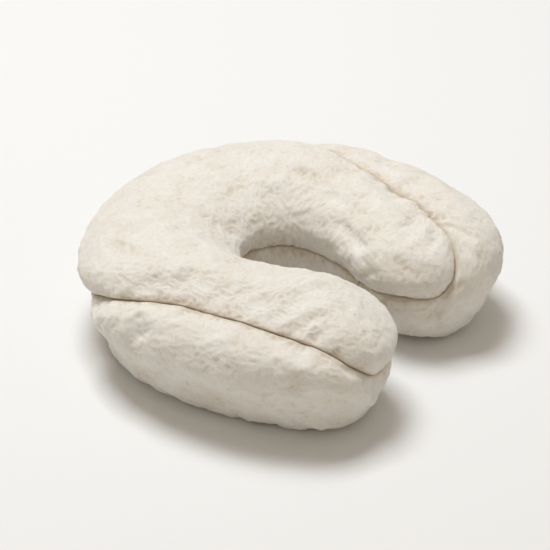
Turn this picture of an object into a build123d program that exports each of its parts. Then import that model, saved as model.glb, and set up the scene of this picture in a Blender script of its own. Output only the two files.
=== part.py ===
from build123d import *
import os
from math import cos, hypot, radians, sin

# A horseshoe face cushion lying flat, in millimetres. The closed crown is towards +Y, the two arms
# towards -Y, and the underside is on z = 0. The origin is at the middle of the underside's box.

# Horseshoe centreline: a half circle for the crown, then one arc that brings each arm inwards.
crown_radius = 100.0
arm_radius = 190.0
arm_angle = 26.0

# Padded cushion in its vinyl skin.
cushion_half_width = 55.5
cushion_height = 80.0
cushion_base_radius = 20.0
cushion_top_radius = 34.0
vinyl_thickness = 1.2
vinyl_top_seam = 64.0
vinyl_base_seam = 24.0
memory_foam_depth = 30.0

# Fleece cover, thinner where the cushion's weight presses on the turned-under hem.
fleece_thickness = 12.0
hem_thickness = 8.0
cover_base_radius = 30.0
cover_top_radius = 46.0
fleece_seam_height = 54.0
hem_turn = 26.0

# Flat elastic inside the hem.
elastic_width = 10.0
elastic_thickness = 1.5
elastic_from_edge = 2.0

# Loop tape under the cushion.
loop_width = 25.0
loop_length_arm = 70.0
loop_length_shoulder = 60.0
loop_thickness = 2.0
loop_arm_angle = 14.5
loop_shoulder_angle = 21.0

# Zip in the base panel, its chain along X.
chain_length = 140.0
tooth_pitch = 2.5
tooth_length = 1.4
tooth_width = 2.4
tooth_height = 1.8
chain_gap = 1.2
tape_width = 12.0
tape_thickness = 0.6
tape_end = 4.0
stop_length = 2.5
stop_height = 2.2
zip_from_hem = 1.0

# Zip slider and its pull tab.
slider_length = 12.0
slider_wall = 1.0
slider_plate = 0.7
bridge_width = 2.0
bridge_length = 8.0
bridge_bar = 0.8
bridge_gap = 2.0
pin_diameter = 1.2
tab_length = 22.0
tab_width = 6.0
tab_thickness = 1.0

# Clearances.
running_clearance = 0.2
slot_clearance = 0.5
moving_clearance = 0.4

# Places worked out from the sizes above.
cover_half_width = cushion_half_width + fleece_thickness
cushion_base = hem_thickness
cushion_top = cushion_base + cushion_height
cover_top = cushion_top + fleece_thickness
hem_edge = cushion_half_width - hem_turn
tip_x = crown_radius - arm_radius + arm_radius * cos(radians(arm_angle))
tip_drop = arm_radius * sin(radians(arm_angle))
crown_y = (tip_drop - crown_radius) / 2
tip_y = crown_y - tip_drop
arm_centre_x = crown_radius - arm_radius
foam_base = cushion_base + vinyl_thickness
foam_split = cushion_top - vinyl_thickness - memory_foam_depth
far = 4 * (crown_radius + cover_half_width)

tooth_outer = chain_gap / 2 + tooth_width
zip_half_width = tooth_outer + tape_width
zip_y = crown_y + crown_radius - hem_edge + zip_half_width + zip_from_hem
tape_top = cushion_base
tape_base = tape_top - tape_thickness
chain_z = (tape_top + tape_base) / 2
slot_half_width = tooth_outer + running_clearance + slider_wall + slot_clearance
slot_length = chain_length + 2 * stop_length
tape_length = slot_length + 2 * tape_end
channel_height = tooth_height + 2 * running_clearance
slider_half_width = tooth_outer + running_clearance + slider_wall
slider_top = chain_z + channel_height / 2 + slider_plate
slider_base = chain_z - channel_height / 2 - slider_plate
slider_rest_x = chain_length / 2 - slider_length / 2 - moving_clearance
pin_z = slider_base - bridge_gap / 2
slider_travel = chain_length - slider_length - 2 * moving_clearance


def section(half_width, base, top, base_radius, top_radius):
    """A rounded box across one arm: x runs outwards from the centreline, y runs up."""
    face = Pos(0, (base + top) / 2) * Rectangle(2 * half_width, top - base)
    face = fillet(face.vertices().group_by(Axis.Y)[0], base_radius)
    return fillet(face.vertices().group_by(Axis.Y)[-1], top_radius)


def window(x0, x1, y0, y1):
    """A plain rectangle across the arm, for trimming a section."""
    return Pos((x0 + x1) / 2, (y0 + y1) / 2) * Rectangle(x1 - x0, y1 - y0)


def standing(x, y, angle):
    """A vertical plane through (x, y) whose own x points along the angle, in degrees."""
    c, s = cos(radians(angle)), sin(radians(angle))
    return Plane(origin=(x, y, 0), x_dir=(c, s, 0), z_dir=(s, -c, 0))


def horseshoe(face, capped=True):
    """Run a section round the crown and down both arms, with rounded arm ends."""
    start = standing(crown_radius, crown_y, 0)
    crown = revolve(start * face, Axis((0, crown_y, 0), (0, 0, 1)), 180)
    arm = revolve(start * face, Axis((arm_centre_x, crown_y, 0), (0, 0, -1)), arm_angle)
    if capped:
        outer_half = face & window(0, far, -far, far)
        end = standing(tip_x, tip_y, -arm_angle)
        arm = arm + revolve(end * outer_half, Axis((tip_x, tip_y, 0), (0, 0, -1)), 180)
    return crown + arm + mirror(arm, about=Plane.YZ)


def cover_section():
    outside = section(cover_half_width, 0, cover_top, cover_base_radius, cover_top_radius)
    return outside - cushion_section(0)


def cushion_section(inset):
    """The cushion's section, drawn in from its outside by the inset."""
    return section(
        cushion_half_width - inset,
        cushion_base + inset,
        cushion_top - inset,
        cushion_base_radius - inset,
        cushion_top_radius - inset,
    )


def vinyl_section():
    return cushion_section(0) - cushion_section(vinyl_thickness)


def elastic_section():
    near = hem_edge + elastic_from_edge
    low = (hem_thickness - elastic_thickness) / 2
    strip = window(near, near + elastic_width, low, low + elastic_thickness)
    return strip + mirror(strip, about=Plane.YZ)


def fleece_top_panel():
    return horseshoe(cover_section() & window(-far, far, fleece_seam_height, far))


def fleece_outer_band():
    band = cover_section() & window(hem_edge, far, -far, fleece_seam_height)
    return horseshoe(band - elastic_section()) - room_for_zip_tapes()


def fleece_inner_band():
    band = cover_section() & window(-far, -hem_edge, -far, fleece_seam_height)
    return horseshoe(band - elastic_section(), capped=False) - room_for_zip_tapes()


def room_for_zip_tapes():
    """Where a wide hem would lie over the tapes, it gives way to them."""
    return zip_box(tape_length, zip_half_width, tape_base, tape_top)


def hem_elastic():
    return horseshoe(elastic_section())


def vinyl_top_panel():
    return horseshoe(vinyl_section() & window(-far, far, vinyl_top_seam, far))


def vinyl_outer_boxing():
    return horseshoe(vinyl_section() & window(0, far, vinyl_base_seam, vinyl_top_seam))


def vinyl_inner_boxing():
    return horseshoe(vinyl_section() & window(-far, 0, vinyl_base_seam, vinyl_top_seam), capped=False)


def zip_box(length, half_width, low, high):
    """A box along the zip's chain."""
    return Pos(0, zip_y, (low + high) / 2) * Box(length, 2 * half_width, high - low)


def vinyl_bottom_panel():
    panel = horseshoe(vinyl_section() & window(-far, far, -far, vinyl_base_seam))
    return panel - zip_box(slot_length, slot_half_width, 0, foam_base + moving_clearance)


def memory_foam_layer():
    return horseshoe(cushion_section(vinyl_thickness) & window(-far, far, foam_split, far))


def support_foam_core():
    core = horseshoe(cushion_section(vinyl_thickness) & window(-far, far, -far, foam_split))
    return core - zip_box(slot_length, slot_half_width, 0, slider_top + moving_clearance)


def loop_strip_on_arm():
    """A straight strip laid along the middle of the right arm."""
    angle = radians(-loop_arm_angle)
    x = arm_centre_x + arm_radius * cos(angle)
    y = crown_y + arm_radius * sin(angle)
    strip = Box(loop_width, loop_length_arm, loop_thickness)
    return Pos(x, y, cushion_base - loop_thickness / 2) * Rot(0, 0, -loop_arm_angle) * strip


def loop_strip_on_shoulder():
    """A straight strip where the crown meets the right arm."""
    angle = radians(loop_shoulder_angle)
    x = crown_radius * cos(angle)
    y = crown_y + crown_radius * sin(angle)
    strip = Box(loop_width, loop_length_shoulder, loop_thickness)
    return Pos(x, y, cushion_base - loop_thickness / 2) * Rot(0, 0, loop_shoulder_angle) * strip


def zip_tape(side):
    """One woven tape, on the side of the chain that the sign gives."""
    y = zip_y + side * (tooth_outer + tape_width / 2)
    return Pos(0, y, chain_z) * Box(tape_length, tape_width, tape_thickness)


def zip_teeth(side):
    """A row of moulded teeth on one tape's edge, half a pitch apart from the other row."""
    y = zip_y + side * (chain_gap / 2 + tooth_width / 2)
    gaps = int((chain_length - tooth_length - tooth_pitch / 2) / tooth_pitch)
    first = -gaps * tooth_pitch / 2 + side * tooth_pitch / 4
    tooth = Box(tooth_length, tooth_width, tooth_height)
    return [Pos(first + i * tooth_pitch, y, chain_z) * tooth for i in range(gaps + 1)]


def zip_end_stop():
    """The bar that joins the two rows at the end where the zip starts."""
    x = -chain_length / 2 - stop_length / 2
    return Pos(x, zip_y, chain_z) * Box(stop_length, 2 * tooth_outer, stop_height)


def zip_top_stops():
    """A small crimp on each tape at the end where the zip is closed."""
    x = chain_length / 2 + stop_length / 2
    crimp = Box(stop_length, tooth_width, stop_height)
    reach = chain_gap / 2 + tooth_width / 2
    return [Pos(x, zip_y + side * reach, chain_z) * crimp for side in (-1, 1)]


def slider_bridge():
    """The arch under the slider that the pull tab's pin runs through."""
    low = slider_base - bridge_gap - bridge_bar
    depth = slider_base - low
    arch = Box(bridge_length, bridge_width, depth)
    hole = Box(bridge_length - 2 * bridge_bar, 2 * bridge_width, bridge_gap)
    place = Pos(slider_rest_x, zip_y, 0)
    arch = place * Pos(0, 0, low + depth / 2) * arch
    return arch - place * Pos(0, 0, slider_base - bridge_gap / 2) * hole


def zip_slider():
    """Two plates joined by the post between the rows, with a bridge for the pull tab."""
    place = Pos(slider_rest_x, zip_y, 0)
    body = Box(slider_length, 2 * slider_half_width, slider_top - slider_base)
    body = fillet(body.edges().filter_by(Axis.Z), 2.0)
    body = place * Pos(0, 0, (slider_top + slider_base) / 2) * body
    channel = Box(2 * slider_length, 2 * (tooth_outer + running_clearance), channel_height)
    tape_slot = Box(2 * slider_length, 4 * slider_half_width, tape_thickness + 2 * running_clearance)
    body = body - place * Pos(0, 0, chain_z) * channel
    body = body - place * Pos(0, 0, chain_z) * tape_slot
    post_length = slider_length / 4
    post = Box(post_length, chain_gap - 2 * running_clearance, channel_height)
    post = place * Pos((slider_length - post_length) / 2, 0, chain_z) * post
    return body + post + slider_bridge()


def zip_pull_tab():
    """A flat tab whose window end is a round pin, lying back along the closed chain."""
    window_length = hypot(bridge_length / 2, bridge_gap / 2 + bridge_bar) + moving_clearance
    side_width = (tab_width - bridge_width) / 2 - moving_clearance
    plate_length = tab_length - window_length
    plate = Pos(-window_length - plate_length / 2, 0) * Box(plate_length, tab_width, tab_thickness)
    plate = fillet(plate.edges().filter_by(Axis.Z).sort_by(Axis.X)[:2], tab_width / 2 - 0.5)
    tab = plate + Rot(90, 0, 0) * Cylinder(pin_diameter / 2, tab_width)
    for side in (-1, 1):
        y = side * (tab_width - side_width) / 2
        tab = tab + Pos(-window_length / 2, y) * Box(window_length, side_width, tab_thickness)
    return Pos(slider_rest_x, zip_y, pin_z) * tab


def write(name, shape):
    solids = Compound(children=shape) if isinstance(shape, list) else shape
    export_step(solids, f"parts/{name}.step")


os.makedirs("parts", exist_ok=True)
write("fleece_top_panel", fleece_top_panel())
write("fleece_outer_band", fleece_outer_band())
write("fleece_inner_band", fleece_inner_band())
write("hem_elastic", hem_elastic())
write("vinyl_top_panel", vinyl_top_panel())
write("vinyl_outer_boxing", vinyl_outer_boxing())
write("vinyl_inner_boxing", vinyl_inner_boxing())
write("vinyl_bottom_panel", vinyl_bottom_panel())
write("memory_foam_layer", memory_foam_layer())
write("support_foam_core", support_foam_core())
write("loop_strip_right_arm", loop_strip_on_arm())
write("loop_strip_left_arm", mirror(loop_strip_on_arm(), about=Plane.YZ))
write("loop_strip_right_shoulder", loop_strip_on_shoulder())
write("loop_strip_left_shoulder", mirror(loop_strip_on_shoulder(), about=Plane.YZ))
write("zip_tape_front", zip_tape(-1))
write("zip_tape_rear", zip_tape(1))
write("zip_teeth_front", zip_teeth(-1))
write("zip_teeth_rear", zip_teeth(1))
write("zip_end_stop", zip_end_stop())
write("zip_top_stops", zip_top_stops())
write("zip_slider", zip_slider())
write("zip_pull_tab", zip_pull_tab())
print(f"face opening {2 * (crown_radius - cover_half_width):.1f} mm wide")
print(f"chin gap {2 * (tip_x - cover_half_width):.1f} mm wide")
print(f"crown centre y {crown_y:.2f}, arm end centre ({tip_x:.2f}, {tip_y:.2f})")
print(f"zip at y {zip_y:.2f}, slider at x {slider_rest_x:.2f}, pin z {pin_z:.2f}, travel {slider_travel:.1f}")
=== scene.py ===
import math

import bmesh
import bpy
import numpy as np
from mathutils import Matrix, Vector, noise
from mathutils.kdtree import KDTree


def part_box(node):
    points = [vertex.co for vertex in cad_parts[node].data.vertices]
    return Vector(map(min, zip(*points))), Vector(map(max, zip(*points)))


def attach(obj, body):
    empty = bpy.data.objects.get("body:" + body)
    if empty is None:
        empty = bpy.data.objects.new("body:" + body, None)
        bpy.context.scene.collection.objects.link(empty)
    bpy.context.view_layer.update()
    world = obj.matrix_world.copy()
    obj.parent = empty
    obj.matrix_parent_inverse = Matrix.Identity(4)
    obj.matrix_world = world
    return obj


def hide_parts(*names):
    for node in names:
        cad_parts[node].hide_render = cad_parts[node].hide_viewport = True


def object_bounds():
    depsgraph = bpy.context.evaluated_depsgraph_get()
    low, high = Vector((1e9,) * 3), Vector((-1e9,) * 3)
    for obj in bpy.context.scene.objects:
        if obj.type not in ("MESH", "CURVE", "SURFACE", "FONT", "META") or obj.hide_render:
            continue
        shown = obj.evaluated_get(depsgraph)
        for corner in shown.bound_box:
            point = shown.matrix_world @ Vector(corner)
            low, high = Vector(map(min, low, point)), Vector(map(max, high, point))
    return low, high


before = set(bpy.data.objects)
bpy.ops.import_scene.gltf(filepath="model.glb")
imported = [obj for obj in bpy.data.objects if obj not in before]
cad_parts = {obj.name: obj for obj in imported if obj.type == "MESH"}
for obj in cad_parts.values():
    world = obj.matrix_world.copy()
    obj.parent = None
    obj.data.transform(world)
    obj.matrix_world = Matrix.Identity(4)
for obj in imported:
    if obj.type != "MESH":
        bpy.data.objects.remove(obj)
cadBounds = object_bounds()

# Distances under which points count as one, when merging and when cutting.
nearly = {"merged": 1e-5, "cut": 1e-6}

# The horseshoe's centreline, in metres: a half circle for the crown, then an arc for each arm.
horseshoe = {
    "crownRadius": 0.100,
    "armRadius": 0.190,
    "armAngle": math.radians(26.0),
    "crownSteps": 84,
    "armSteps": 20,
    "endSteps": 34,
    "tubeTurn": math.radians(150),     # the plain tube reaches this far down from its crest, either side
    "outsideShare": 0.5,       # the way round the edge: the outside takes this much,
    "endShare": 0.1,           # an arm's end this much
    "insideShare": 0.4,        # and the inside the rest
}

# One side of the padded section. Fullness 2 is an ellipse, more is boxier, less is leaner.
section = {
    "widestAt": 0.055,
    "topFullness": 2.25,
    "baseFullness": 1.85,
    "tuck": 0.012,             # how far the outside leans in under its widest part
    "endEase": 0.6,            # how much of the tuck is lost round an arm's end,
    "easeFrom": 0.44,          # from this far round the edge
    "easeOver": 0.08,
    "turnSteps": 500,
    "liningTurn": 0.03,        # above this height linings point at the middle of the padding
}

fleece = {
    "thickness": 0.0075,
    "hemEdge": 0.0295,         # from the centreline to the turned-under hem
    "restTo": 0.035,           # the hem lies flat out to here
    "bandRows": 30,
    "topRows": 18,
    # the top panel's seam: how far round the edge, and its slope above the widest point in degrees
    "leftSeam": [(0, -4), (0.15, -6), (0.18, 2), (0.206, 12), (0.233, 23), (0.274, 39), (0.312, 49),
                 (0.361, 51), (0.408, 51), (0.454, 46), (0.486, 42), (0.506, 37), (0.515, 28), (0.522, 15),
                 (0.534, -4), (0.60, -6), (1, -4)],
    "rightSeam": [(0, -4), (0.08, -2), (0.15, 12), (0.24, 45), (0.32, 72), (0.40, 83), (0.532, 82),
                  (0.541, 66), (0.547, 40), (0.552, 14), (0.560, -3), (0.60, -6), (1, -4)],
    "seamDepth": 0.0092,
    "seamReach": 0.0098,
    "seamSharpness": 1.3,
    "seamSpacing": 0.001,      # between the spots that stand for the seam line
    "lipHeight": 0.0030,       # the band stands proud just beside the seam
    "lipApart": 0.019,
    "lipWidth": 0.010,
    "topLipHeight": 0.0012,    # the top panel's own lip, lower than the band's
    "topLipApart": 0.020,
    "topLipWidth": 0.011,
    "leftPull": {"least": 0.72, "more": 0.28, "turn": 0.34, "over": 0.10},     # strongest on the crown
    "rightPull": {"least": 0.35, "more": 0.40, "turn": 0.34, "over": 0.08},    # strongest by the arm's end
    "puckerDepth": 0.0016,
    "puckerLength": 0.011,
    "puckerReach": 0.013,
    "puckerWithin": 0.035,
    "gatherDepth": 0.0026,
    "gatherLength": 0.013,
    "gatherReach": 0.024,
    "gatherWithin": 0.06,
    "edgeLength": 0.7,         # of the cover's edge, from the crown's outside to its inside
    "insideKept": 0.52,        # share of the triangles left on the unseen inner face
}

swelling = {
    "pressure": 4.0,
    "frames": 20,
    "cap": 0.006,
    "shrink": -0.03,
    "quality": 5,
    "mass": 0.3,
    "stretch": 15,
    "bending": 0.5,
    "heldRows": 2,             # the hem's rows stay put
}

pile = {
    "slump": 0.0022,           # slow unevenness of the padding
    "slumpLength": 0.050,
    "clump": 0.0012,           # patches where the pile lies one way
    "clumpLength": 0.016,
    "tuft": 0.0008,
    "tuftLength": 0.0052,
    "tuftMiddle": 1.1,
    "swirl": 0.0035,           # how far the lie of the pile bends a row of tufts
    # painted shade for the fleece's colour: how much sunk clumps and tufts darken it, and how dark and how
    # wide the seam's groove is painted
    "clumpShade": 0.45,
    "tuftShade": 0.5,
    "seamShade": 0.9,
    "seamShadeReach": 0.0048,
    "lowest": 0.0002,          # pressed flat where it rests
    "outerAbove": 0.02,        # the outer layer is 1 outside and 0 on the inner face
}

# Soft creases and dimples in the padding: the line that each one follows, its depth and its width.
creases = [
    ([(0.040, -0.036, 0.086), (0.034, -0.052, 0.084), (0.030, -0.068, 0.080)], 0.0036, 0.006),
    ([(-0.137, -0.022, 0.089), (-0.157, 0.004, 0.080), (-0.166, 0.024, 0.060)], 0.0034, 0.007),
    ([(-0.164, -0.040, 0.042), (-0.153, -0.082, 0.034)], 0.0026, 0.008),
    ([(-0.033, 0.080, 0.099), (-0.027, 0.054, 0.095), (-0.013, 0.034, 0.080)], 0.0030, 0.008),
    ([(-0.084, 0.086, 0.098), (-0.078, 0.078, 0.099)], 0.0034, 0.009),
    ([(-0.100, 0.086, 0.093), (-0.110, 0.074, 0.091)], 0.0026, 0.007),
    ([(-0.076, 0.038, 0.099), (-0.069, 0.026, 0.097)], 0.0030, 0.009),
    ([(-0.099, -0.109, 0.097), (-0.075, -0.119, 0.095)], 0.0026, 0.006),
    ([(0.071, 0.024, 0.098), (0.065, -0.004, 0.095), (0.060, -0.026, 0.092)], 0.0028, 0.007),
    ([(0.096, -0.046, 0.099), (0.086, -0.060, 0.100)], 0.0026, 0.007),
    ([(0.150, -0.050, 0.078), (0.162, -0.020, 0.062)], 0.0030, 0.008),
    ([(0.108, 0.108, 0.080), (0.126, 0.096, 0.062)], 0.0030, 0.008),
    ([(0.010, 0.142, 0.084), (-0.022, 0.150, 0.068)], 0.0028, 0.009),
    ([(0.118, -0.110, 0.084), (0.126, -0.120, 0.060)], 0.0026, 0.007),
]


# Shape

def horseshoePlaces():
    high = Vector(cadBounds[1])
    halfWidth = high.x - horseshoe["crownRadius"]
    crownY = high.y - horseshoe["crownRadius"] - halfWidth
    armX = horseshoe["crownRadius"] - horseshoe["armRadius"]
    angle = horseshoe["armAngle"]
    tip = (armX + horseshoe["armRadius"] * math.cos(angle),
           crownY - horseshoe["armRadius"] * math.sin(angle))
    return {"halfWidth": halfWidth, "height": high.z, "crownY": crownY, "armX": armX, "tip": tip}


places = horseshoePlaces()


def sectionCurve(halfWidth, low, high, restTo):
    # one half of a padded section, from the middle of the underside round to the crest
    turn = np.linspace(0, math.pi / 2, section["turnSteps"])
    widest, base, top = section["widestAt"], 2 / section["baseFullness"], 2 / section["topFullness"]
    across = np.concatenate([[0], restTo + (halfWidth - restTo) * np.sin(turn) ** base,
                             halfWidth * np.cos(turn[1:]) ** top])
    up = np.concatenate([[low], widest - (widest - low) * np.cos(turn) ** base,
                         widest + (high - widest) * np.sin(turn[1:]) ** top])
    run = np.concatenate([[0], np.cumsum(np.hypot(np.diff(across), np.diff(up)))])
    lean = np.degrees(np.arctan2(up - widest, across))
    normal = np.stack([np.gradient(up, run), -np.gradient(across, run)])
    normal /= np.linalg.norm(normal, axis=0)
    return {"across": across, "up": up, "run": run, "lean": lean, "normal": normal}


def spinEdges(bm, edges, centre, angle, steps):
    verts = list({v for e in edges for v in e.verts})
    return bmesh.ops.spin(bm, geom=verts + edges, cent=(*centre, 0), axis=(0, 0, 1),
                          dvec=(0, 0, 0), angle=angle, steps=steps)["geom_last"]


def edgesOf(geometry):
    return [e for e in geometry if isinstance(e, bmesh.types.BMEdge)]


def plainTube(crestRow, coarse=1):
    # an open tube round the horseshoe, its rows numbered from the underside up to the crest
    bm = bmesh.new()
    rowLayer = bm.verts.layers.int.new("row")
    radius = places["halfWidth"]
    profile = []
    for i in range(-crestRow, crestRow + 1):
        lean = i / crestRow * horseshoe["tubeTurn"]
        at = (horseshoe["crownRadius"] + radius * math.sin(lean), places["crownY"], radius * math.cos(lean))
        vert = bm.verts.new(at)
        vert[rowLayer] = crestRow - abs(i)
        profile.append(vert)
    start = [bm.edges.new(pair) for pair in zip(profile, profile[1:])]
    crownCentre = (0, places["crownY"])
    left = edgesOf(spinEdges(bm, start, crownCentre, math.pi, horseshoe["crownSteps"] // coarse))
    for sign, edges in ((1, start), (-1, left)):
        armCentre = (sign * places["armX"], places["crownY"])
        armEnd = edgesOf(spinEdges(bm, edges, armCentre, -sign * horseshoe["armAngle"],
                                   horseshoe["armSteps"] // coarse))
        tip = Vector((sign * places["tip"][0], places["tip"][1], 0))
        outward = Matrix.Rotation(-sign * horseshoe["armAngle"], 3, "Z") @ Vector((sign, 0, 0))
        outer = [e for e in armEnd
                 if all((v.co - tip).dot(outward) > -1e-6 for v in e.verts)]
        spinEdges(bm, outer, tip[:2], -sign * math.pi, horseshoe["endSteps"] // coarse)
    bmesh.ops.remove_doubles(bm, verts=bm.verts, dist=nearly["merged"])
    bmesh.ops.recalc_face_normals(bm, faces=bm.faces)
    return bm


def centreline(x, y):
    # nearest point of the centreline, the outward direction there, and how far round the edge it is:
    # 0 at the crown's outside, 0.5 to 0.6 round an arm's end, 1 at the crown's inside
    sign = np.where(x < 0, -1.0, 1.0)
    x = np.abs(x)
    angle = horseshoe["armAngle"]
    crownTurn = np.arctan2(y - places["crownY"], x)
    armTurn = np.arctan2(places["crownY"] - y, x - places["armX"])
    onCrown = y >= places["crownY"] - 1e-9
    onArm = ~onCrown & (armTurn <= angle + 1e-5)
    length = horseshoe["crownRadius"] * math.pi / 2 + horseshoe["armRadius"] * angle
    tipX, tipY = places["tip"]
    cx = np.where(onCrown, horseshoe["crownRadius"] * np.cos(crownTurn),
                  np.where(onArm, places["armX"] + horseshoe["armRadius"] * np.cos(armTurn), tipX))
    cy = np.where(onCrown, places["crownY"] + horseshoe["crownRadius"] * np.sin(crownTurn),
                  np.where(onArm, places["crownY"] - horseshoe["armRadius"] * np.sin(armTurn), tipY))
    endTurn = np.arctan2(y - tipY, x - tipX)
    dx = np.where(onCrown, np.cos(crownTurn), np.where(onArm, np.cos(armTurn), np.cos(endTurn)))
    dy = np.where(onCrown, np.sin(crownTurn), np.where(onArm, -np.sin(armTurn), np.sin(endTurn)))
    across = (x - cx) * dx + (y - cy) * dy
    along = np.where(onCrown, horseshoe["crownRadius"] * (math.pi / 2 - crownTurn),
                     horseshoe["crownRadius"] * math.pi / 2 + horseshoe["armRadius"] * armTurn) / length
    roundEnd = np.mod(-angle - endTurn, 2 * math.pi) / math.pi
    alongSides = np.where(across >= 0, along * horseshoe["outsideShare"],
                          1 - along * horseshoe["insideShare"])
    way = np.where(onCrown | onArm, alongSides, horseshoe["outsideShare"] + horseshoe["endShare"] * roundEnd)
    return cx * sign, cy, dx * sign, dy, across, way


def eased(t):
    t = np.clip(t, 0, 1)
    return t * t * (3 - 2 * t)


def seamLean(way, points):
    # the seam's slope round the edge, with its corners rounded off
    fine = np.linspace(0, 1, 2001)
    kernel = np.hanning(17)
    table = np.interp(fine, *zip(*points))
    table = np.convolve(np.pad(table, 8, mode="edge"), kernel / kernel.sum(), "valid")
    return np.interp(way, fine, table)


def readVerts(mesh):
    co = np.empty(len(mesh.vertices) * 3)
    mesh.vertices.foreach_get("co", co)
    return co.reshape(-1, 3)


def writeVerts(mesh, co):
    mesh.vertices.foreach_set("co", co.ravel())
    mesh.update()


def readLayer(mesh, name, kind=np.float32):
    values = np.empty(len(mesh.vertices), kind)
    mesh.attributes[name].data.foreach_get("value", values)
    return values


def writeLayer(mesh, name, values):
    layer = mesh.attributes.get(name) or mesh.attributes.new(name, "FLOAT", "POINT")
    layer.data.foreach_set("value", values.astype(np.float32))


def newObject(name, bm):
    mesh = bpy.data.meshes.new(name)
    bm.to_mesh(mesh)
    bm.free()
    piece = bpy.data.objects.new(name, mesh)
    bpy.context.scene.collection.objects.link(piece)
    return piece


def tuckUnder(outward, up, way, across):
    # the outside leans in towards the hem, less so round the arm ends
    kept = 1 - section["endEase"] * eased((way - section["easeFrom"]) / section["easeOver"])
    strength = kept * (across >= 0)
    base = up.min()
    share = np.clip((up - base) / (section["widestAt"] - base), 0, 1)
    return outward - section["tuck"] * strength * 16 * (share * (1 - share)) ** 2


def seamDistances(mesh, co, onSeam):
    # how far every vertex is from the seam line
    spots = []
    for edge in mesh.edges:
        a, b = edge.vertices
        if onSeam[a] and onSeam[b]:
            count = max(2, int(np.linalg.norm(co[b] - co[a]) / fleece["seamSpacing"]))
            spots += [co[a] + (co[b] - co[a]) * t for t in np.linspace(0, 1, count)]
    tree = KDTree(len(spots))
    for i, spot in enumerate(spots):
        tree.insert(spot, i)
    tree.balance()
    return np.array([tree.find(Vector(v))[2] for v in co])


def seamPull(way, onLeft):
    # how strongly the seam draws in, on each side of the cover
    left, right = fleece["leftPull"], fleece["rightPull"]
    return np.where(onLeft, left["least"] + left["more"] * eased((left["turn"] - way) / left["over"]),
                    right["least"] + right["more"] * eased((way - right["turn"]) / right["over"]))


def bumpAt(apart, middle, width):
    return np.exp(-((apart - middle) / width) ** 2)


def shapeCover(mesh):
    # rows of the plain tube slide onto the padded section, with the seam drawn in
    curve = sectionCurve(places["halfWidth"], 0, places["height"], fleece["restTo"])
    co = readVerts(mesh)
    rows = readLayer(mesh, "row", np.int32)
    cx, cy, dx, dy, across, way = centreline(co[:, 0], co[:, 1])
    onLeft = co[:, 0] < 0
    lean = np.where(onLeft, seamLean(way, fleece["leftSeam"]), seamLean(way, fleece["rightSeam"]))
    under = slice(section["turnSteps"])
    atHem = np.interp(fleece["hemEdge"], curve["across"][under], curve["run"][under])
    atSeam, atCrest = np.interp(lean, curve["lean"], curve["run"]), curve["run"][-1]
    band = fleece["bandRows"]
    run = np.where(rows <= band, atHem + (atSeam - atHem) * rows / band,
                   atSeam + (atCrest - atSeam) * (rows - band) / fleece["topRows"])
    outward = np.interp(run, curve["run"], curve["across"])
    up = np.interp(run, curve["run"], curve["up"])
    outward = tuckUnder(outward, up, way, across)
    side = np.where(across < 0, -1.0, 1.0)
    smooth = np.stack([cx + dx * side * outward, cy + dy * side * outward, up], axis=1)
    fromSeam = seamDistances(mesh, smooth, rows == band) * np.where(rows <= band, -1, 1)
    groove = np.exp(-(np.abs(fromSeam) / fleece["seamReach"]) ** fleece["seamSharpness"])
    inwards = fleece["seamDepth"] * groove
    inwards -= fleece["lipHeight"] * bumpAt(fromSeam, -fleece["lipApart"], fleece["lipWidth"])
    inwards -= fleece["topLipHeight"] * bumpAt(fromSeam, fleece["topLipApart"], fleece["topLipWidth"])
    inwards *= seamPull(way, onLeft)
    normal = [np.interp(run, curve["run"], n) for n in curve["normal"]]
    outward = outward - inwards * normal[0]
    up = up - inwards * normal[1]
    writeVerts(mesh, np.stack([cx + dx * side * outward, cy + dy * side * outward, up], axis=1))
    writeLayer(mesh, "fromSeam", fromSeam)
    writeLayer(mesh, "fromHem", run - atHem)
    writeLayer(mesh, "way", way)
    return rows


def swell(skin, held):
    # cloth swells out between the seam and the hem, which are held
    group = skin.vertex_groups.new(name="held")
    group.add([int(i) for i in np.nonzero(held)[0]], 1.0, "REPLACE")
    before = readVerts(skin.data)
    cloth = skin.modifiers.new("swelling", "CLOTH")
    settings = cloth.settings
    settings.quality = swelling["quality"]
    settings.mass = swelling["mass"]
    settings.tension_stiffness = settings.compression_stiffness = swelling["stretch"]
    settings.bending_stiffness = swelling["bending"]
    settings.use_pressure = True
    settings.uniform_pressure_force = swelling["pressure"]
    settings.effector_weights.gravity = 0
    settings.vertex_group_mass = "held"
    settings.shrink_min = swelling["shrink"]
    cloth.collision_settings.use_collision = False
    for step in range(1, swelling["frames"] + 1):
        bpy.context.scene.frame_set(step)
    evaluated = skin.evaluated_get(bpy.context.evaluated_depsgraph_get())
    after = readVerts(evaluated.data)
    skin.modifiers.remove(cloth)
    move = after - before
    size = np.linalg.norm(move, axis=1, keepdims=True)
    tiny = 1e-9                # keeps the division away from nought
    capped = move * np.minimum(1, swelling["cap"] / np.maximum(size, tiny))
    writeVerts(skin.data, before + capped)
    bpy.context.scene.frame_set(1)
    mean, most = float(size.mean()) * 1000, float(size.max()) * 1000
    print("swelling: mean move", round(mean, 2), "mm, largest before the cap", round(most, 2), "mm")


def inwardsFrom(co):
    # straight up under the cushion, turning towards the middle of the padding higher up
    cx, cy = centreline(co[:, 0], co[:, 1])[:2]
    middle = np.stack([cx, cy, np.full(len(cx), section["widestAt"])], axis=1) - co
    middle /= np.linalg.norm(middle, axis=1, keepdims=True)
    share = eased(co[:, 2] / section["liningTurn"])[:, None]
    mixed = middle * share + np.array([[0, 0, 1.0]]) * (1 - share)
    return mixed / np.linalg.norm(mixed, axis=1, keepdims=True)


def isOuter(face):
    # true round the outside and the arm ends, false round the face opening
    spot = face.calc_center_median()
    way = centreline(np.array([spot.x]), np.array([spot.y]))[5][0]
    return bool(way <= horseshoe["outsideShare"] + horseshoe["endShare"])


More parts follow.
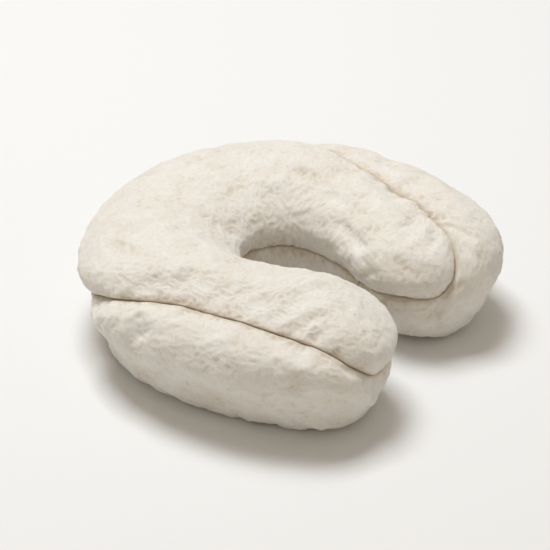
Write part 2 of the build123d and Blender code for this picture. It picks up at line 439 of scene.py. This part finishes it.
def rowsBetween(low, high, side=None):
    def keep(face, row):
        if min(v[row] for v in face.verts) < low or max(v[row] for v in face.verts) > high:
            return False
        return side is None or isOuter(face) == (side == "outer")
    return keep


def cutPanel(skin, name, keep, thickness, sunk=0.0, opening=None):
    # one panel as a closed piece: some of the skin's faces, sunk in and thickened inwards
    bm = bmesh.new()
    bm.from_mesh(skin.data)
    row = bm.verts.layers.int["row"]
    outer = bm.verts.layers.float.new("outer")
    bmesh.ops.delete(bm, geom=[f for f in bm.faces if not keep(f, row)], context="FACES")
    if opening:
        cutOpening(bm, opening)
    co = np.array([v.co for v in bm.verts])
    for v, place in zip(bm.verts, co + inwardsFrom(co) * sunk):
        v.co = place
        v[outer] = 1.0
    extruded = bmesh.ops.extrude_face_region(bm, geom=bm.faces[:])["geom"]
    innerVerts = [g for g in extruded if isinstance(g, bmesh.types.BMVert)]
    co = np.array([v.co for v in innerVerts])
    for v, place in zip(innerVerts, co + inwardsFrom(co) * thickness):
        v.co = place
        v[outer] = 0.0
    bmesh.ops.recalc_face_normals(bm, faces=bm.faces)
    return newObject(name, bm)


def cutOpening(bm, opening):
    # a straight-sided window through the underside, given by its low and high corners
    (x0, y0), (x1, y1) = opening
    margin, highest = 0.02, 0.02       # only the underside's faces round the window are cut
    for spot, normal in (((x0, 0, 0), (1, 0, 0)), ((x1, 0, 0), (1, 0, 0)),
                         ((0, y0, 0), (0, 1, 0)), ((0, y1, 0), (0, 1, 0))):
        near = [f for f in bm.faces if f.calc_center_median().z < highest
                and x0 - margin < f.calc_center_median().x < x1 + margin
                and y0 - margin < f.calc_center_median().y < y1 + margin]
        geom = near + list({e for f in near for e in f.edges}) + list({v for f in near for v in f.verts})
        bmesh.ops.bisect_plane(bm, geom=geom, dist=nearly["cut"], plane_co=spot, plane_no=normal)
    inside = [f for f in bm.faces if f.calc_center_median().z < highest
              and x0 < f.calc_center_median().x < x1 and y0 < f.calc_center_median().y < y1]
    bmesh.ops.delete(bm, geom=inside, context="FACES")


def applied(piece):
    # the piece with its modifiers made real
    graph = bpy.context.evaluated_depsgraph_get()
    mesh = bpy.data.meshes.new_from_object(piece.evaluated_get(graph), preserve_all_data_layers=True,
                                           depsgraph=graph)
    piece.modifiers.clear()
    piece.data = mesh


def refine(piece, levels):
    smooth = piece.modifiers.new("smooth", "SUBSURF")
    smooth.levels = smooth.render_levels = levels
    applied(piece)


def thinInside(piece, share):
    # the unseen inner face needs few triangles
    group = piece.vertex_groups.new(name="inside")
    outer = readLayer(piece.data, "outer")
    group.add([int(i) for i in np.nonzero(outer < pile["outerAbove"])[0]], 1.0, "REPLACE")
    fewer = piece.modifiers.new("fewer", "DECIMATE")
    fewer.ratio = share
    fewer.vertex_group = "inside"
    fewer.vertex_group_factor = 100
    applied(piece)


def creaseDepths(co):
    depths = np.zeros(len(co))
    for line, depth, width in creases:
        line = np.array(line)
        nearest = np.full(len(co), np.inf)
        for start, end in zip(line, line[1:]):
            along = end - start
            share = np.clip((co - start) @ along / (along @ along), 0, 1)[:, None]
            nearest = np.minimum(nearest, np.linalg.norm(co - start - share * along, axis=1))
        depths = np.maximum(depths, depth * np.exp(-(nearest / width) ** 2))
    return depths


def raisePile(piece):
    # puckers along the seam, gathers at the elastic hem, then the clumps and tufts of the pile, with painted
    # shade for the colour where they sink and in the seam's groove
    mesh = piece.data
    co = readVerts(mesh)
    away = -inwardsFrom(co)
    outer, fromSeam, fromHem, way = (readLayer(mesh, n) for n in ("outer", "fromSeam", "fromHem", "way"))
    heights, shade = -creaseDepths(co), np.zeros(len(co))
    clumpLength, tuftLength = pile["clumpLength"], pile["tuftLength"]
    for i in np.nonzero(outer > pile["outerAbove"])[0]:
        p = Vector(co[i])
        lay = noise.noise_vector(p / clumpLength)
        slump = noise.noise(p / pile["slumpLength"])
        clump = noise.fractal(p / clumpLength + Vector((3, 1, 7)), 0.8, 2.1, 2)
        tuft = noise.ridged_multi_fractal((p + lay * pile["swirl"]) / tuftLength, 0.9, 2.2, 2, 0.9, 1.6)
        tuft -= pile["tuftMiddle"]
        heights[i] += pile["slump"] * slump + pile["clump"] * clump + pile["tuft"] * tuft
        # painted shade: darker where the clump and the tuft sink, lighter where they rise
        shade[i] = pile["clumpShade"] * clump + pile["tuftShade"] * tuft
        alongEdge = float(way[i]) * fleece["edgeLength"]
        seamApart, hemApart = float(fromSeam[i]), float(fromHem[i])
        if abs(seamApart) < fleece["puckerWithin"]:
            pucker = noise.noise(Vector((alongEdge / fleece["puckerLength"], seamApart * 20, p.x * 5)))
            heights[i] += fleece["puckerDepth"] * pucker * math.exp(-abs(seamApart) / fleece["puckerReach"])
        if hemApart < fleece["gatherWithin"]:
            gather = noise.noise(Vector((alongEdge / fleece["gatherLength"], hemApart * 12, p.x * 4)))
            heights[i] += fleece["gatherDepth"] * gather * math.exp(-(hemApart / fleece["gatherReach"]) ** 2)
    # painted shade in the seam's groove
    shade -= pile["seamShade"] * np.exp(-(np.abs(fromSeam) / pile["seamShadeReach"]) ** 1.5)
    raised = co + away * (heights * outer)[:, None]
    raised[:, 2] = np.maximum(raised[:, 2], pile["lowest"])
    writeVerts(mesh, raised)
    # the painted shade is kept as the 'pile' attribute, which the fleece's colour reads
    writeLayer(mesh, "pile", np.clip(0.5 + 0.5 * shade, 0, 1))
    mesh.shade_smooth()


# Finishes

def newMaterial(name, **sockets):
    material = bpy.data.materials.new(name)
    material.use_nodes = True
    shader = material.node_tree.nodes["Principled BSDF"]
    for socket, value in sockets.items():
        shader.inputs[socket.replace("_", " ")].default_value = value
    return material, material.node_tree.nodes, material.node_tree.links


def addNode(nodes, kind, **values):
    node = nodes.new("ShaderNode" + kind)
    for key, value in values.items():
        if hasattr(node, key):
            setattr(node, key, value)
        else:
            node.inputs[key.replace("_", " ")].default_value = value
    return node


def addRamp(nodes, links, source, stops):
    ramp = nodes.new("ShaderNodeValToRGB")
    while len(ramp.color_ramp.elements) < len(stops):
        ramp.color_ramp.elements.new(0.5)
    for element, (position, colour) in zip(ramp.color_ramp.elements, stops):
        element.position = position
        element.color = (*colour, 1)
    links.new(source, ramp.inputs["Fac"])
    return ramp.outputs["Color"]


def addBump(nodes, links, source, strength, distance):
    bump = addNode(nodes, "Bump", Strength=strength, Distance=distance)
    links.new(source, bump.inputs["Height"])
    links.new(bump.outputs["Normal"], nodes["Principled BSDF"].inputs["Normal"])


def blendColours(nodes, links, kind, factor, first, second):
    mixer = addNode(nodes, "Mix", data_type="RGBA", blend_type=kind)
    for socket, value in (("Factor", factor), ("A", first), ("B", second)):
        spot = next(s for s in mixer.inputs if s.name == socket and s.enabled)
        if isinstance(value, bpy.types.NodeSocket):
            links.new(value, spot)
        else:
            spot.default_value = value
    return next(s for s in mixer.outputs if s.enabled)


def fleeceFinish():
    material, nodes, links = newMaterial("creamFleece", Roughness=0.95, Specular_IOR_Level=0.12,
                                         Sheen_Weight=0.45, Sheen_Roughness=0.55,
                                         Subsurface_Weight=0.3, Subsurface_Scale=0.004,
                                         Subsurface_Radius=(1.0, 0.85, 0.65),
                                         Sheen_Tint=(1.0, 0.98, 0.95, 1))
    where = addNode(nodes, "TexCoord").outputs["Object"]
    # painted shade: the 'pile' attribute darkens the cream to a warm tan where clumps and tufts sink and in
    # the seam's groove
    lie = addNode(nodes, "Attribute", attribute_name="pile")
    depth = addRamp(nodes, links, lie.outputs["Fac"],
                    [(0.0, (0.70, 0.62, 0.52)), (0.26, (0.86, 0.825, 0.765)), (0.62, (0.91, 0.895, 0.865))])
    patches = addNode(nodes, "TexNoise", Scale=24, Detail=3)
    links.new(where, patches.inputs["Vector"])
    strands = addNode(nodes, "TexNoise", Scale=620, Detail=5, Roughness=0.65, Distortion=1.2)
    links.new(where, strands.inputs["Vector"])
    # random mottling multiplied over the painted shade
    mottleAndShade = blendColours(nodes, links, "MULTIPLY", patches.outputs["Fac"], depth, (0.95, 0.93, 0.89, 1))
    speck = addRamp(nodes, links, strands.outputs["Fac"], [(0.30, (0.86, 0.83, 0.78)), (0.62, (1, 1, 1))])
    tone = blendColours(nodes, links, "MULTIPLY", 0.8, mottleAndShade, speck)
    links.new(tone, nodes["Principled BSDF"].inputs["Base Color"])
    addBump(nodes, links, strands.outputs["Fac"], 0.7, 0.0013)
    return material


def vinylFinish():
    material, nodes, links = newMaterial("beigeVinyl", Roughness=0.46, Specular_IOR_Level=0.45,
                                         Coat_Weight=0.12, Coat_Roughness=0.3)
    where = addNode(nodes, "TexCoord").outputs["Object"]
    grain = addNode(nodes, "TexVoronoi", Scale=850, feature="SMOOTH_F1")
    links.new(where, grain.inputs["Vector"])
    creases = addNode(nodes, "TexNoise", Scale=210, Detail=6, Roughness=0.6, Distortion=0.6)
    links.new(where, creases.inputs["Vector"])
    wear = addNode(nodes, "TexNoise", Scale=17, Detail=4)
    links.new(where, wear.inputs["Vector"])
    base = addRamp(nodes, links, wear.outputs["Fac"], [(0.3, (0.54, 0.49, 0.41)), (0.7, (0.62, 0.57, 0.49))])
    pits = addRamp(nodes, links, grain.outputs["Distance"], [(0.1, (1, 1, 1)), (0.65, (0.84, 0.81, 0.77))])
    tone = blendColours(nodes, links, "MULTIPLY", 0.9, base, pits)
    links.new(tone, nodes["Principled BSDF"].inputs["Base Color"])
    height = addNode(nodes, "Math", operation="MULTIPLY_ADD")
    links.new(creases.outputs["Fac"], height.inputs[0])
    height.inputs[1].default_value = -0.6
    links.new(grain.outputs["Distance"], height.inputs[2])
    addBump(nodes, links, height.outputs[0], -0.5, 0.0004)
    gloss = addRamp(nodes, links, creases.outputs["Fac"], [(0.3, (0.40,) * 3), (0.7, (0.58,) * 3)])
    links.new(gloss, nodes["Principled BSDF"].inputs["Roughness"])
    return material


def foamFinish(name, light, dark, poreScale):
    material, nodes, links = newMaterial(name, Roughness=0.9, Specular_IOR_Level=0.1)
    where = addNode(nodes, "TexCoord").outputs["Object"]
    pores = addNode(nodes, "TexVoronoi", Scale=poreScale)
    links.new(where, pores.inputs["Vector"])
    cloud = addNode(nodes, "TexNoise", Scale=30, Detail=4)
    links.new(where, cloud.inputs["Vector"])
    cells = addRamp(nodes, links, pores.outputs["Distance"], [(0.05, dark), (0.45, light)])
    yellowed = blendColours(nodes, links, "MULTIPLY", cloud.outputs["Fac"], cells, (0.94, 0.92, 0.85, 1))
    links.new(yellowed, nodes["Principled BSDF"].inputs["Base Color"])
    addBump(nodes, links, pores.outputs["Distance"], 0.5, 0.0006)
    return material


def loopTapeFinish():
    # the soft side of a hook and loop fastener: a mat of tiny nylon loops
    material, nodes, links = newMaterial("loopTape", Roughness=0.9, Specular_IOR_Level=0.2, Sheen_Weight=0.5,
                                         Sheen_Roughness=0.4)
    where = addNode(nodes, "TexCoord").outputs["Object"]
    loops = addNode(nodes, "TexNoise", Scale=1300, Detail=3, Roughness=0.7, Distortion=3.0)
    links.new(where, loops.inputs["Vector"])
    patches = addNode(nodes, "TexNoise", Scale=90, Detail=3)
    links.new(where, patches.inputs["Vector"])
    mat = addRamp(nodes, links, loops.outputs["Fac"],
                  [(0.32, (0.42, 0.38, 0.31)), (0.62, (0.72, 0.67, 0.58))])
    tone = blendColours(nodes, links, "MULTIPLY", patches.outputs["Fac"], mat, (0.86, 0.84, 0.80, 1))
    links.new(tone, nodes["Principled BSDF"].inputs["Base Color"])
    addBump(nodes, links, loops.outputs["Fac"], 0.9, 0.0010)
    return material


def wovenFinish(name, light, dark, acrossScale):
    # fine ribs one way crossed by a looser weave the other way
    material, nodes, links = newMaterial(name, Roughness=0.8, Specular_IOR_Level=0.25, Sheen_Weight=0.2)
    where = addNode(nodes, "TexCoord").outputs["Object"]
    warp = addNode(nodes, "TexWave", wave_type="BANDS", bands_direction="X", Scale=acrossScale,
                   Distortion=0.4)
    weft = addNode(nodes, "TexWave", wave_type="BANDS", bands_direction="Y", Scale=acrossScale * 0.7,
                   Distortion=0.6)
    fuzz = addNode(nodes, "TexNoise", Scale=500, Detail=4)
    for texture in (warp, weft, fuzz):
        links.new(where, texture.inputs["Vector"])
    cross = addNode(nodes, "Math", operation="MULTIPLY")
    links.new(warp.outputs["Fac"], cross.inputs[0])
    links.new(weft.outputs["Fac"], cross.inputs[1])
    threads = addRamp(nodes, links, cross.outputs[0], [(0.1, dark), (0.7, light)])
    tone = blendColours(nodes, links, "MULTIPLY", fuzz.outputs["Fac"], threads, (0.88, 0.87, 0.84, 1))
    links.new(tone, nodes["Principled BSDF"].inputs["Base Color"])
    addBump(nodes, links, cross.outputs[0], 0.6, 0.0003)
    return material


def nylonFinish():
    material, nodes, links = newMaterial("mouldedNylon", Roughness=0.38, Specular_IOR_Level=0.5,
                                         Subsurface_Weight=0.1)
    where = addNode(nodes, "TexCoord").outputs["Object"]
    flow = addNode(nodes, "TexNoise", Scale=260, Detail=4, Roughness=0.5)
    links.new(where, flow.inputs["Vector"])
    tone = addRamp(nodes, links, flow.outputs["Fac"], [(0.3, (0.60, 0.56, 0.47)), (0.7, (0.70, 0.66, 0.58))])
    links.new(tone, nodes["Principled BSDF"].inputs["Base Color"])
    shine = addRamp(nodes, links, flow.outputs["Fac"], [(0.3, (0.32,) * 3), (0.7, (0.46,) * 3)])
    links.new(shine, nodes["Principled BSDF"].inputs["Roughness"])
    addBump(nodes, links, flow.outputs["Fac"], 0.15, 0.0002)
    return material


def brassFinish():
    material, nodes, links = newMaterial("satinBrass", Metallic=1.0, Roughness=0.3)
    where = addNode(nodes, "TexCoord").outputs["Object"]
    stretch = addNode(nodes, "Mapping", vector_type="POINT")
    stretch.inputs["Scale"].default_value = (60, 1600, 1600)
    links.new(where, stretch.inputs["Vector"])
    brush = addNode(nodes, "TexNoise", Scale=1.0, Detail=5, Roughness=0.6)
    links.new(stretch.outputs["Vector"], brush.inputs["Vector"])
    rub = addNode(nodes, "TexNoise", Scale=150, Detail=4)
    links.new(where, rub.inputs["Vector"])
    plate = addRamp(nodes, links, rub.outputs["Fac"],
                    [(0.32, (0.46, 0.37, 0.20)), (0.62, (0.62, 0.52, 0.32))])
    links.new(plate, nodes["Principled BSDF"].inputs["Base Color"])
    satin = addRamp(nodes, links, brush.outputs["Fac"], [(0.3, (0.24,) * 3), (0.7, (0.46,) * 3)])
    links.new(satin, nodes["Principled BSDF"].inputs["Roughness"])
    addBump(nodes, links, brush.outputs["Fac"], 0.2, 0.0001)
    return material


def threadFinish():
    material, nodes, links = newMaterial("creamThread", Roughness=0.7, Specular_IOR_Level=0.3,
                                         Sheen_Weight=0.2)
    where = addNode(nodes, "TexCoord").outputs["Object"]
    twist = addNode(nodes, "TexWave", wave_type="BANDS", bands_direction="DIAGONAL", Scale=900, Distortion=1)
    links.new(where, twist.inputs["Vector"])
    tone = addRamp(nodes, links, twist.outputs["Fac"], [(0.2, (0.58, 0.53, 0.44)), (0.8, (0.82, 0.78, 0.70))])
    links.new(tone, nodes["Principled BSDF"].inputs["Base Color"])
    addBump(nodes, links, twist.outputs["Fac"], 0.4, 0.0002)
    return material


def giveFinish(piece, finish):
    piece.data.materials.clear()
    piece.data.materials.append(finish)


def place(piece, slot, finish, nodes=(), body="cushion"):
    giveFinish(piece, finish)
    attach(piece, body)
    if nodes:
        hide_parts(*nodes)
    print(piece.name, len(piece.data.polygons), "faces")


# Fleece cover

hemTape = {"firstRow": 1, "lastRow": 4, "thickness": 0.0015, "sunk": 0.0032}


def buildCover():
    band = fleece["bandRows"]
    crestRow = band + fleece["topRows"]
    skin = newObject("coverSkin", plainTube(crestRow))
    rows = shapeCover(skin.data)
    swell(skin, (rows == band) | (rows <= swelling["heldRows"]))
    finish = fleeceFinish()
    panels = {
        "fleeceTop": ("fleece_top_panel", rowsBetween(band, crestRow)),
        "fleeceOuterBand": ("fleece_outer_band", rowsBetween(0, band, "outer")),
        "fleeceInnerBand": ("fleece_inner_band", rowsBetween(0, band, "inner")),
    }
    for name, (node, keep) in panels.items():
        piece = cutPanel(skin, name, keep, fleece["thickness"])
        refine(piece, 2)
        raisePile(piece)
        thinInside(piece, fleece["insideKept"])
        place(piece, "fleece", finish, [node])
    keep = rowsBetween(hemTape["firstRow"], hemTape["lastRow"])
    elastic = cutPanel(skin, "hemElastic", keep, hemTape["thickness"], sunk=hemTape["sunk"])
    weave = wovenFinish("hemElasticWeave", (0.85, 0.83, 0.79), (0.6, 0.58, 0.54), 500)
    place(elastic, "elastic", weave, ["hem_elastic"])
    bpy.data.objects.remove(skin)


buildCover()


# Padded cushion in its vinyl skin

cushion = {
    "inset": 0.0115,           # how far the vinyl lies inside the fleece cover's outside
    "restTo": 0.033,
    "baseSeam": 0.024,
    "topSeam": 0.064,
    "vinylThickness": 0.0012,
    "baseRows": 12,
    "boxingRows": 8,
    "topRows": 10,
    "foamGap": 0.0016,
    "layerGap": 0.0002,        # half the gap between the two foams
    "seamDip": 0.0012,         # how far the vinyl draws in at its sewn edges
    "seamDipWidth": 0.004,
    "slotHalf": 0.0047,        # the zip's window in the base panel, either side of the chain
}


def shapeCushion(mesh, inset):
    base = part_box("vinyl_bottom_panel")[0].z + inset
    curve = sectionCurve(places["halfWidth"] - cushion["inset"] - inset, base,
                         places["height"] - cushion["inset"] - inset, cushion["restTo"])
    co = readVerts(mesh)
    rows = readLayer(mesh, "row", np.int32)
    cx, cy, dx, dy, across, way = centreline(co[:, 0], co[:, 1])
    marks = [0, cushion["baseRows"], cushion["baseRows"] + cushion["boxingRows"],
             cushion["baseRows"] + cushion["boxingRows"] + cushion["topRows"]]
    seams = np.interp([cushion["baseSeam"], cushion["topSeam"]], curve["up"], curve["run"])
    runs = [0, *seams, curve["run"][-1]]
    run = np.interp(rows, marks, runs)
    up = np.interp(run, curve["run"], curve["up"])
    outward = tuckUnder(np.interp(run, curve["run"], curve["across"]), up, way, across)
    for seam in seams:
        outward = outward - cushion["seamDip"] * bumpAt(run, seam, cushion["seamDipWidth"])
    side = np.where(across < 0, -1.0, 1.0)
    writeVerts(mesh, np.stack([cx + dx * side * outward, cy + dy * side * outward, up], axis=1))
    return marks


def zipPlace():
    # the zip's window, from the tapes and the stops at its two ends
    front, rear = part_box("zip_tape_front"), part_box("zip_tape_rear")
    middle = (front[0].y + rear[1].y) / 2
    return ((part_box("zip_end_stop")[0].x, middle - cushion["slotHalf"]),
            (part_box("zip_top_stops")[1].x, middle + cushion["slotHalf"]))


def closedSkin(name, inset):
    rows = cushion["baseRows"] + cushion["boxingRows"] + cushion["topRows"]
    skin = newObject(name, plainTube(rows, coarse=2))
    marks = shapeCushion(skin.data, inset)
    bm = bmesh.new()
    bm.from_mesh(skin.data)
    bmesh.ops.remove_doubles(bm, verts=bm.verts, dist=nearly["merged"])
    bmesh.ops.recalc_face_normals(bm, faces=bm.faces)
    bm.to_mesh(skin.data)
    bm.free()
    return skin, marks


def buildCushion():
    finish = vinylFinish()
    skin, marks = closedSkin("cushionSkin", 0.0)
    panels = {
        "vinylTop": ("vinyl_top_panel", rowsBetween(marks[2], marks[3]), None),
        "vinylOuterBoxing": ("vinyl_outer_boxing", rowsBetween(marks[1], marks[2], "outer"), None),
        "vinylInnerBoxing": ("vinyl_inner_boxing", rowsBetween(marks[1], marks[2], "inner"), None),
        "vinylBase": ("vinyl_bottom_panel", rowsBetween(0, marks[1]), zipPlace()),
    }
    for name, (node, keep, opening) in panels.items():
        piece = cutPanel(skin, name, keep, cushion["vinylThickness"], opening=opening)
        if opening is None:
            refine(piece, 1)
        piece.data.shade_smooth()
        place(piece, "vinyl", finish, [node])
    bpy.data.objects.remove(skin)


def buildFoam(name, node, slot, finish, above):
    # the foam under the vinyl, cut level where its two layers meet
    skin = closedSkin(name, cushion["vinylThickness"] + cushion["foamGap"])[0]
    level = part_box("memory_foam_layer")[0].z + (cushion["layerGap"] if above else -cushion["layerGap"])
    bm = bmesh.new()
    bm.from_mesh(skin.data)
    bmesh.ops.bisect_plane(bm, geom=bm.verts[:] + bm.edges[:] + bm.faces[:], dist=nearly["cut"],
                           plane_co=(0, 0, level), plane_no=(0, 0, 1), clear_outer=not above,
                           clear_inner=above)
    rim = [e for e in bm.edges if e.is_boundary]
    cap = bmesh.ops.contextual_create(bm, geom=rim)["faces"]
    bmesh.ops.triangulate(bm, faces=cap)
    bmesh.ops.recalc_face_normals(bm, faces=bm.faces)
    bm.to_mesh(skin.data)
    bm.free()
    skin.data.shade_smooth()
    place(skin, slot, finish, [node])


buildCushion()
buildFoam("memoryFoam", "memory_foam_layer", "memory_foam",
          foamFinish("memoryFoam", (0.86, 0.82, 0.66), (0.62, 0.56, 0.42), 700), above=True)
buildFoam("coreFoam", "support_foam_core", "core_foam",
          foamFinish("coreFoam", (0.80, 0.80, 0.82), (0.52, 0.52, 0.55), 420), above=False)


# Fittings on the underside

stitching = {
    "length": 0.0026,
    "pitch": 0.0036,
    "width": 0.0006,
    "fromEdge": 0.0024,        # of a loop strip
    "zipRows": (0.0042, 0.0098),       # each row's distance from the tape's inner edge
    "zipEnds": 0.002,
}


def addStitchRow(bm, start, end):
    # a run of short proud stitches between two points
    start, end = Vector(start), Vector(end)
    way = end - start
    count = int(way.length / stitching["pitch"])
    turn = math.atan2(way.y, way.x)
    for i in range(count):
        middle = start + way * ((i + 0.5) / count)
        size = Matrix.Diagonal((stitching["length"] / 2, stitching["width"] / 2, stitching["width"] / 2, 1))
        bmesh.ops.create_uvsphere(bm, u_segments=6, v_segments=4, radius=1.0,
                                  matrix=Matrix.Translation(middle) @ Matrix.Rotation(turn, 4, "Z") @ size)


def stripCorners(node):
    # the four corners of a straight strip's underside, a little way in, from its own mesh
    co = readVerts(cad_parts[node].data)
    middle = co[:, :2].mean(axis=0)
    axes = np.linalg.eigh(np.cov((co[:, :2] - middle).T))[1]
    along, across = axes[:, 1], axes[:, 0]
    u, v = (co[:, :2] - middle) @ along, (co[:, :2] - middle) @ across
    gap, low = stitching["fromEdge"], co[:, 2].min()
    corners = []
    for a, b in ((u.min() + gap, v.min() + gap), (u.max() - gap, v.min() + gap),
                 (u.max() - gap, v.max() - gap), (u.min() + gap, v.max() - gap)):
        spot = middle + along * a + across * b
        corners.append((float(spot[0]), float(spot[1]), float(low)))
    return corners


def buildStitching():
    thread, ends = threadFinish(), stitching["zipEnds"]
    bm = bmesh.new()
    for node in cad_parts:
        if node.startswith("loop_strip"):
            corners = stripCorners(node)
            for start, end in zip(corners, corners[1:] + corners[:1]):
                addStitchRow(bm, start, end)
    loops = newObject("loopStitching", bm)
    loops.data.shade_smooth()
    place(loops, "loop_tape", thread)
    bm = bmesh.new()
    for node in ("zip_tape_front", "zip_tape_rear"):
        low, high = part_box(node)
        inner = high.y if "front" in node else low.y
        sign = -1 if "front" in node else 1
        for gap in stitching["zipRows"]:
            y = inner + sign * gap
            addStitchRow(bm, (low.x + ends, y, low.z), (high.x - ends, y, low.z))
    zipThread = newObject("zipStitching", bm)
    zipThread.data.shade_smooth()
    place(zipThread, "zip_tape", thread)


def finishNodes():
    nylon, brass, loopTape = nylonFinish(), brassFinish(), loopTapeFinish()
    weave = wovenFinish("zipTapeWeave", (0.66, 0.61, 0.52), (0.40, 0.36, 0.29), 420)
    finishes = {"zip_tape": weave, "zip_teeth": nylon, "zip_end": brass, "zip_top": brass,
                "zip_slider": brass, "zip_pull": brass, "loop_strip": loopTape}
    for node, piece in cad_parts.items():
        for start, finish in finishes.items():
            if node.startswith(start):
                giveFinish(piece, finish)
                print(node, finish.name)


buildStitching()
finishNodes()


# Room, light and camera

studio = {
    "floorTone": (0.80, 0.80, 0.795, 1),
    "skyTone": (1.0, 0.90, 0.77, 1),
    "skyStrength": 0.395,
    "azimuth": math.radians(-55),
    "elevation": math.radians(33),
    "distance": 2.18,
    "aim": (0.0, 0.0, 0.045),
    "lens": 172,
    "sensorWidth": 36,
    "floorSize": 4,
    "key": {"spot": (0.3, 0.75, 2.75), "size": 1.2, "watts": 69, "tone": (0.945, 0.97, 1.0)},
    "fill": {"spot": (-2.2, -1.2, 1.6), "size": 1.8, "watts": 3, "tone": (1.0, 0.93, 0.84)},
}


def buildRoom():
    bm = bmesh.new()
    bmesh.ops.create_grid(bm, x_segments=1, y_segments=1, size=studio["floorSize"])
    floor = newObject("floor", bm)
    giveFinish(floor, newMaterial("paleFloor", Base_Color=studio["floorTone"], Roughness=0.85)[0])
    world = bpy.data.worlds.new("softSky")
    bpy.context.scene.world = world
    world.use_nodes = True
    sky = world.node_tree.nodes["Background"].inputs
    sky["Color"].default_value = studio["skyTone"]
    sky["Strength"].default_value = studio["skyStrength"]


def addLight(name, spot, size, watts, tone):
    light = bpy.data.lights.new(name, "AREA")
    light.size = size
    light.energy = watts
    light.color = tone
    lamp = bpy.data.objects.new(name, light)
    lamp.location = spot
    lamp.rotation_euler = (Vector(studio["aim"]) - Vector(spot)).to_track_quat("-Z", "Y").to_euler()
    bpy.context.scene.collection.objects.link(lamp)


def addCamera():
    azimuth, elevation = studio["azimuth"], studio["elevation"]
    look = Vector((math.cos(elevation) * math.sin(-azimuth), math.cos(elevation) * math.cos(azimuth),
                   -math.sin(elevation)))
    camera = bpy.data.objects.new("camera", bpy.data.cameras.new("camera"))
    camera.location = Vector(studio["aim"]) - look * studio["distance"]
    camera.rotation_euler = look.to_track_quat("-Z", "Y").to_euler()
    camera.data.lens = studio["lens"]
    camera.data.sensor_width = studio["sensorWidth"]
    bpy.context.scene.collection.objects.link(camera)
    bpy.context.scene.camera = camera


buildRoom()
addLight("softKey", **studio["key"])
addLight("fill", **studio["fill"])
addCamera()
print("room, lights and camera placed")
bpy.context.scene.view_settings.view_transform = "Standard"
